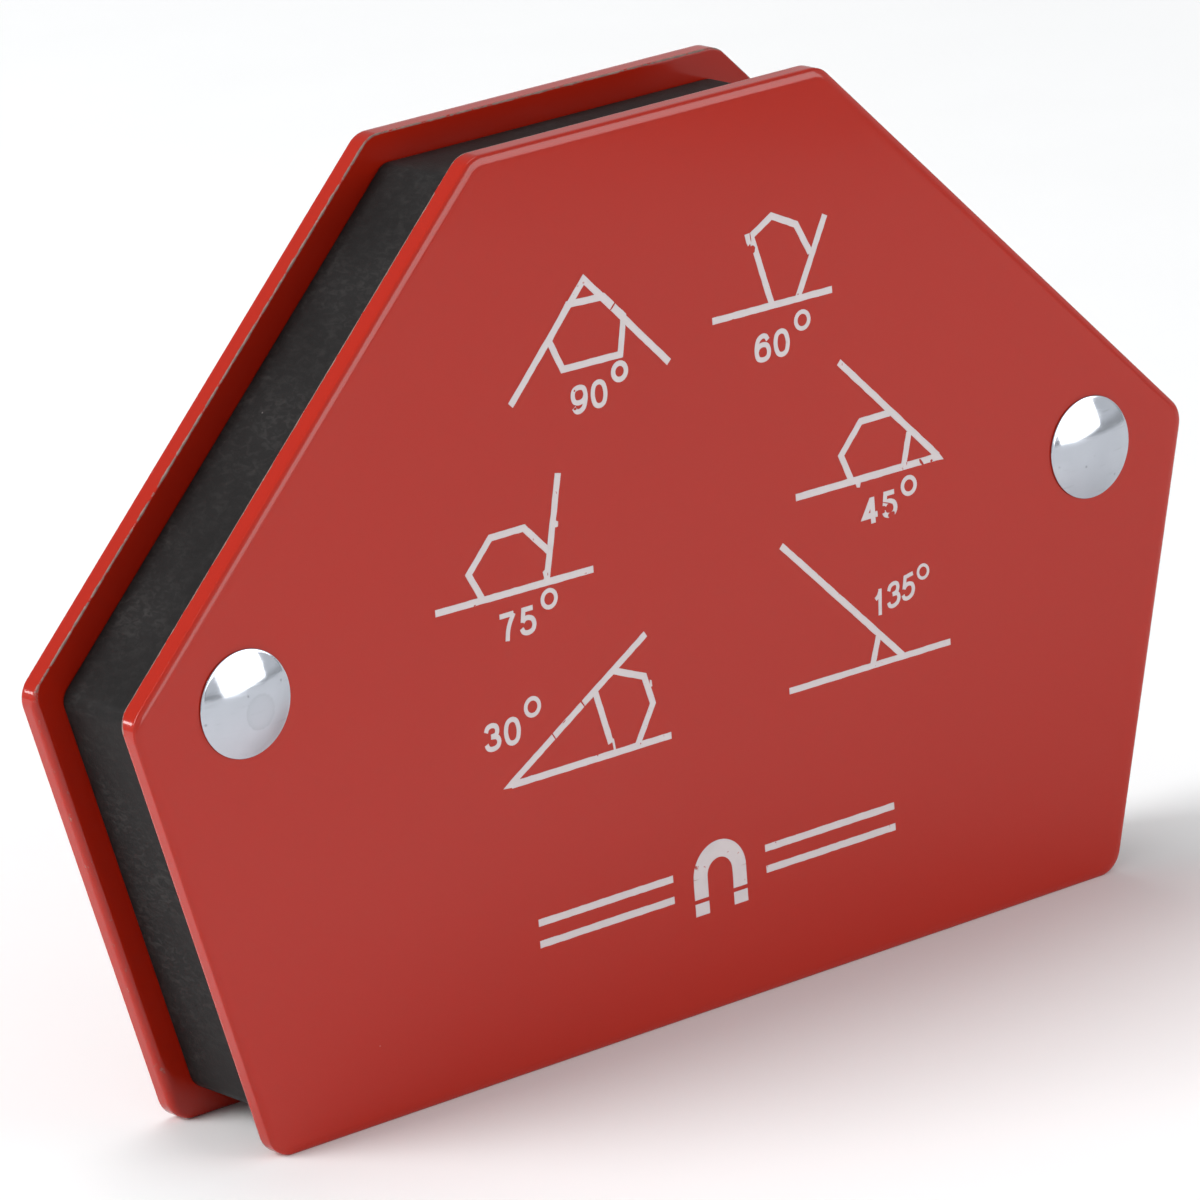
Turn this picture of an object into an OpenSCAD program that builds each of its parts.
// Six-sided magnetic holder for setting up welds: two steel plates riveted over a moulded core that
// holds five ferrite magnets. Millimetres. X runs along the width, Y through the thickness with the
// front plate towards -Y, and Z up from the base side.

/* [Plate outline] */
// Width over the two widest corners, before they are rounded
overall_w = 110; // [90:1:135]
// Height from the base side to the top side
overall_h = 75; // [60:1:92]
// Length of the top side, between its sharp corners
top_side_w = 36; // [30:0.5:44]
// Angle between the base side and each lower side, in degrees
lower_angle = 75; // [65:1:85]
// Slope of each upper side, in degrees
upper_angle = 45; // [42:1:50]
// Radius of the six corners
corner_r = 2.3; // [1:0.1:4]

/* [Thickness] */
// Thickness over both plates, without the rivet heads
overall_t = 15; // [12:0.5:20]
// Thickness of each steel plate
plate_t = 2; // [1.5:0.1:3]

/* [Core] */
// How far the core stands back from the edges of the plates
core_inset = 2.4; // [1:0.1:4]
// Radius of the core's six corners
core_corner_r = 1.6; // [0.8:0.1:3]
// Least wall between the core's rim and a magnet pocket
core_wall = 4.1; // [3:0.1:6]
// Web between neighbouring magnet pockets
pocket_web = 1.5; // [1:0.1:3]
// Radius in the corners of a pocket
pocket_r = 0.8; // [0.3:0.1:1.5]

/* [Magnets] */
// Width over the two upper pockets with the web between them
upper_row_w = 51.5; // [40:0.5:56]
// Gap between a magnet and its pocket, on each side
magnet_gap = 0.15; // [0.05:0.05:0.4]

/* [Rivets] */
// Distance of each rivet from its widest corner, across the width
rivet_inset = 10.8; // [9:0.1:14]
// How far the rivets sit below the level of the widest corners
rivet_drop = 0.7; // [0:0.1:3]
// Diameter of a rivet's head
head_d = 8.7; // [7.5:0.1:11]
// Height of a head above its plate
head_h = 0.9; // [0.6:0.1:1.8]
// Height of the straight rim at the foot of a head
head_rim = 0.25; // [0.1:0.05:0.5]
// Outside diameter of the rivet's barrel
barrel_d = 5; // [4:0.1:6]
// Wall of the barrel
barrel_wall = 0.7; // [0.4:0.1:1]
// Gap left between the end of the barrel and the other head
barrel_short = 0.3; // [0.1:0.1:1]
// Wall of the spacer tube round the barrel
spacer_wall = 1.3; // [0.8:0.1:2]
// Gap on the radius between the post and the barrel
post_gap = 0.05; // [0.02:0.01:0.1]
// Gap on the radius round the barrel, in the plates and in the spacer tube
barrel_gap = 0.1; // [0.05:0.05:0.3]
// Gap on the radius between the spacer tube and the core
spacer_gap = 0.1; // [0.05:0.05:0.3]
// Least wall between a spacer tube's hole and a magnet pocket
rivet_wall = 1.7; // [1:0.1:3]

/* [Hidden] */
$fn = 96;

LEFT = -1;
RIGHT = 1;
FRONT = -1;
REAR = 1;

enamel_red = "#a93b33";
moulded_black = "#262625";
ferrite_grey = "#3b3b3e";
bright_zinc = "#c9ced6";

// Cuts run this far past both faces of what they cut
cut_past = 1;

// Space between the plates, which the core, the magnets and the spacer tubes all fill
plate_gap = overall_t - 2 * plate_t;
// Level of the two widest corners, where the upper and the lower sides meet
widest_z = overall_h - (overall_w - top_side_w) / 2 * tan(upper_angle);
// Length of the base side, between its sharp corners
base_side_w = overall_w - 2 * widest_z / tan(lower_angle);

// Sharp corners of the outline, anticlockwise as seen from the front, from the base side's left end
corners = [
    [-base_side_w / 2, 0], [base_side_w / 2, 0],
    [overall_w / 2, widest_z],
    [top_side_w / 2, overall_h], [-top_side_w / 2, overall_h],
    [-overall_w / 2, widest_z]
];

rivet_x = overall_w / 2 - rivet_inset;
rivet_z = widest_z - rivet_drop;
barrel_r = barrel_d / 2;
barrel_hole_r = barrel_r + barrel_gap;
barrel_bore_r = barrel_r - barrel_wall;
post_r = barrel_bore_r - post_gap;
spacer_r = barrel_hole_r + spacer_wall;
spacer_hole_r = spacer_r + spacer_gap;
// The dome of a head is part of a ball that passes through the top of its rim
dome_h = head_h - head_rim;
dome_r = (pow(head_d / 2, 2) + pow(dome_h, 2)) / (2 * dome_h);

// The pockets keep this far inside the plate outline
pocket_inset = core_inset + core_wall;
lower_row_z = [pocket_inset, rivet_z - spacer_hole_r - rivet_wall];
// The upper row reaches up to where its outer corners meet the wall beside the upper sides
upper_row_top = widest_z + tan(upper_angle)
    * ((overall_w - upper_row_w) / 2 - pocket_inset / sin(upper_angle));
upper_row_z = [lower_row_z[1] + pocket_web, upper_row_top];
lower_row_w = 2 * min(half_width_in(lower_row_z[0]), half_width_in(lower_row_z[1]));
lower_pocket_w = (lower_row_w - 2 * pocket_web) / 3;
upper_pocket_w = (upper_row_w - pocket_web) / 2;
lower_pitch = lower_pocket_w + pocket_web;
upper_pitch = upper_pocket_w + pocket_web;

// Half the width at a level, measured to the pocket wall beside the lower and the upper sides
function half_width_in(z) = min(
    base_side_w / 2 + z / tan(lower_angle) - pocket_inset / sin(lower_angle),
    overall_w / 2 - (z - widest_z) / tan(upper_angle) - pocket_inset / sin(upper_angle));

function unit(v) = v / norm(v);
function to_next(i) = unit(corners[(i + 1) % 6] - corners[i]);
function to_last(i) = unit(corners[(i + 5) % 6] - corners[i]);
// Half of the inside angle at a corner, and the direction from it into the plate
function half_angle(i) = acos(to_next(i) * to_last(i)) / 2;
function inwards(i) = unit(to_next(i) + to_last(i));
// A point on the line that halves a corner, this far inside both of its sides
function inside_corner(i, inset) = corners[i] + inwards(i) * inset / sin(half_angle(i));

// The plate outline, moved in by inset, with corners of radius r
module outline(inset, r) {
    feet = [for (i = [0:5]) let (reach = r / tan(half_angle(i)), c = inside_corner(i, inset))
        each [c + to_last(i) * reach, c + to_next(i) * reach]];
    polygon(feet);
    for (i = [0:5]) translate(inside_corner(i, inset + r)) circle(r);
}

// Stands a flat drawing up in the XZ plane, thick along Y, with its middle at y
module upright(y, thick) translate([0, y + thick / 2, 0]) rotate([90, 0, 0]) linear_extrude(thick) children();

// Moves to a rivet's axis, with Z pointing out of the plate on that face
module at_rivet(side, face) translate([side * rivet_x, 0, rivet_z]) rotate([-90 * face, 0, 0]) children();

module rounded_rect(w, h, r) {
    square([w - 2 * r, h], center = true);
    square([w, h - 2 * r], center = true);
    for (x = [-1, 1], z = [-1, 1]) translate([x * (w / 2 - r), z * (h / 2 - r)]) circle(r);
}

// A pocket or a magnet in a row, cut back by gap on every side
module row_block(x, row_z, w, gap)
    translate([x, (row_z[0] + row_z[1]) / 2])
        rounded_rect(w - 2 * gap, row_z[1] - row_z[0] - 2 * gap, pocket_r);

module lower_block(step, gap = 0) row_block(step * lower_pitch, lower_row_z, lower_pocket_w, gap);
module upper_block(side, gap = 0) row_block(side * upper_pitch / 2, upper_row_z, upper_pocket_w, gap);

module plate(face)
    color(enamel_red) difference() {
        upright(face * (overall_t - plate_t) / 2, plate_t) outline(0, corner_r);
        for (side = [LEFT, RIGHT]) at_rivet(side, REAR)
            cylinder(h = overall_t + 2 * cut_past, r = barrel_hole_r, center = true);
    }

module front_plate() plate(FRONT);
module rear_plate() plate(REAR);

module core_frame()
    color(moulded_black) difference() {
        upright(0, plate_gap) outline(core_inset, core_corner_r);
        upright(0, plate_gap + 2 * cut_past) {
            for (step = [-1:1]) lower_block(step);
            for (side = [LEFT, RIGHT]) upper_block(side);
        }
        for (side = [LEFT, RIGHT]) at_rivet(side, REAR)
            cylinder(h = plate_gap + 2 * cut_past, r = spacer_hole_r, center = true);
    }

module magnet() color(ferrite_grey) upright(0, plate_gap) children();

module magnet_lower_left() magnet() lower_block(-1, magnet_gap);
module magnet_lower_middle() magnet() lower_block(0, magnet_gap);
module magnet_lower_right() magnet() lower_block(1, magnet_gap);
module magnet_upper_left() magnet() upper_block(LEFT, magnet_gap);
module magnet_upper_right() magnet() upper_block(RIGHT, magnet_gap);

module spacer_tube(side)
    color(bright_zinc) at_rivet(side, REAR) difference() {
        cylinder(h = plate_gap, r = spacer_r, center = true);
        cylinder(h = plate_gap + 2 * cut_past, r = barrel_hole_r, center = true);
    }

module spacer_tube_left() spacer_tube(LEFT);
module spacer_tube_right() spacer_tube(RIGHT);

// A shallow domed head that seats on the face of its plate
module rivet_head() translate([0, 0, overall_t / 2]) {
    cylinder(h = head_rim, r = head_d / 2);
    intersection() {
        translate([0, 0, head_h - dome_r]) sphere(dome_r);
        translate([0, 0, head_rim]) cylinder(h = dome_h + cut_past, r = head_d / 2);
    }
}

// The front half: a head with a solid post that is driven into the barrel
module rivet_post(side)
    color(bright_zinc) at_rivet(side, FRONT) {
        rivet_head();
        translate([0, 0, -overall_t / 2 + barrel_short]) cylinder(h = overall_t - barrel_short, r = post_r);
    }

module rivet_post_left() rivet_post(LEFT);
module rivet_post_right() rivet_post(RIGHT);

// The rear half: a head with the barrel, bored from its open end
module rivet_cap(side)
    color(bright_zinc) at_rivet(side, REAR) {
        rivet_head();
        difference() {
            translate([0, 0, -overall_t / 2 + barrel_short])
                cylinder(h = overall_t - barrel_short, r = barrel_r);
            translate([0, 0, -overall_t / 2 - cut_past])
                cylinder(h = overall_t + cut_past, r = barrel_bore_r);
        }
    }

module rivet_cap_left() rivet_cap(LEFT);
module rivet_cap_right() rivet_cap(RIGHT);

front_plate();
rear_plate();
core_frame();
magnet_lower_left();
magnet_lower_middle();
magnet_lower_right();
magnet_upper_left();
magnet_upper_right();
spacer_tube_left();
spacer_tube_right();
rivet_post_left();
rivet_post_right();
rivet_cap_left();
rivet_cap_right();
